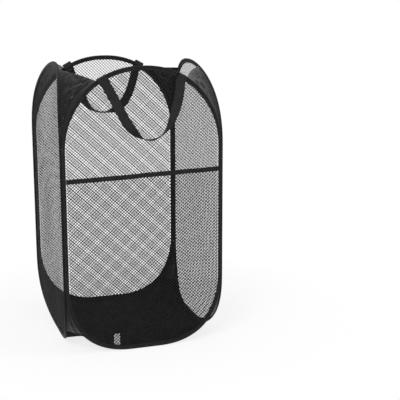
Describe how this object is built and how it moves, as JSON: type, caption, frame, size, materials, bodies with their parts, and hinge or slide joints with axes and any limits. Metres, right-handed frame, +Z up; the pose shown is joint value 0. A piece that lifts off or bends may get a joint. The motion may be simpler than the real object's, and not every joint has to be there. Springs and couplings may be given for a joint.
{
  "type": "pop up laundry hamper",
  "caption": "Square pop up laundry hamper with four wire-framed net sides that fold like a parallelogram, solid corner webs, a front net pocket and two webbing handles.",
  "frame": {"origin": "middle of the hamper's plan at the ground", "axes": "+Z up; the front panel, which has the net pocket, faces -Y; +X to the right as seen from the front"},
  "size_m": [0.351, 0.3936, 0.6],
  "materials": {
    "wire": "satin",
    "tape": "matte",
    "net": "matte",
    "cloth": "satin",
    "webbing": "matte",
    "label": "matte"
  },
  "bodies": {
    "front_panel": {"front_wire": "wire", "front_ferrule": "wire", "front_net": "net", "front_binding": "tape", "pocket_net": "net", "pocket_hem_band": "tape", "care_label": "label", "front_handle_tab_left": "webbing", "front_handle_tab_right": "webbing", "seam_front_left": "tape", "seam_front_right": "tape", "top_web_front_left": "cloth", "top_web_front_right": "cloth", "bottom_web_front_left": "cloth", "bottom_web_front_right": "cloth", "floor_panel": "cloth"},
    "left_panel": {"left_wire": "wire", "left_ferrule": "wire", "left_net": "net", "left_binding": "tape", "seam_back_left": "tape", "top_web_back_left": "cloth", "bottom_web_back_left": "cloth"},
    "right_panel": {"right_wire": "wire", "right_ferrule": "wire", "right_net": "net", "right_binding": "tape"},
    "back_panel": {"back_wire": "wire", "back_ferrule": "wire", "back_net": "net", "back_binding": "tape", "back_handle_tab_left": "webbing", "back_handle_tab_right": "webbing"},
    "back_right_corner": {"seam_back_right": "tape", "top_web_back_right": "cloth", "bottom_web_back_right": "cloth"},
    "front_handle": {"front_handle_strap": "webbing"},
    "back_handle": {"back_handle_strap": "webbing"}
  },
  "joints": [
    {"name": "left_fold", "type": "hinge", "parent": "front_panel", "child": "left_panel", "pos_m": [-0.1693, -0.1693, 0.3], "axis": [0, 0, 1], "range_deg": [-80, 80], "stiffness_Nm_per_rad": 0.3, "deforming": ["top_web_front_left", "bottom_web_front_left", "floor_panel"]},
    {"name": "right_fold", "type": "hinge", "parent": "front_panel", "child": "right_panel", "pos_m": [0.1693, -0.1693, 0.3], "axis": [0, 0, 1], "range_deg": [-80, 80], "deforming": ["top_web_front_right", "bottom_web_front_right"]},
    {"name": "back_fold", "type": "hinge", "parent": "left_panel", "child": "back_panel", "pos_m": [-0.1693, 0.1693, 0.3], "axis": [0, 0, 1], "range_deg": [-80, 80], "deforming": ["top_web_back_left", "bottom_web_back_left"]},
    {"name": "seam_fold", "type": "hinge", "parent": "back_panel", "child": "back_right_corner", "pos_m": [0.1693, 0.1693, 0.3], "axis": [0, 0, 1], "range_deg": [-80, 80], "deforming": ["top_web_back_right", "bottom_web_back_right"]},
    {"name": "front_handle_swing", "type": "hinge", "parent": "front_panel", "child": "front_handle", "pos_m": [0, -0.17765, 0.56533], "axis": [-1, 0, 0], "range_deg": [0, 160]},
    {"name": "back_handle_swing", "type": "hinge", "parent": "back_panel", "child": "back_handle", "pos_m": [0, 0.17765, 0.56533], "axis": [1, 0, 0], "range_deg": [0, 160]}
  ],
  "couplings": [
    {"joint": "right_fold", "follows": "left_fold", "ratio": 1},
    {"joint": "back_fold", "follows": "left_fold", "ratio": -1},
    {"joint": "seam_fold", "follows": "left_fold", "ratio": 1}
  ]
}
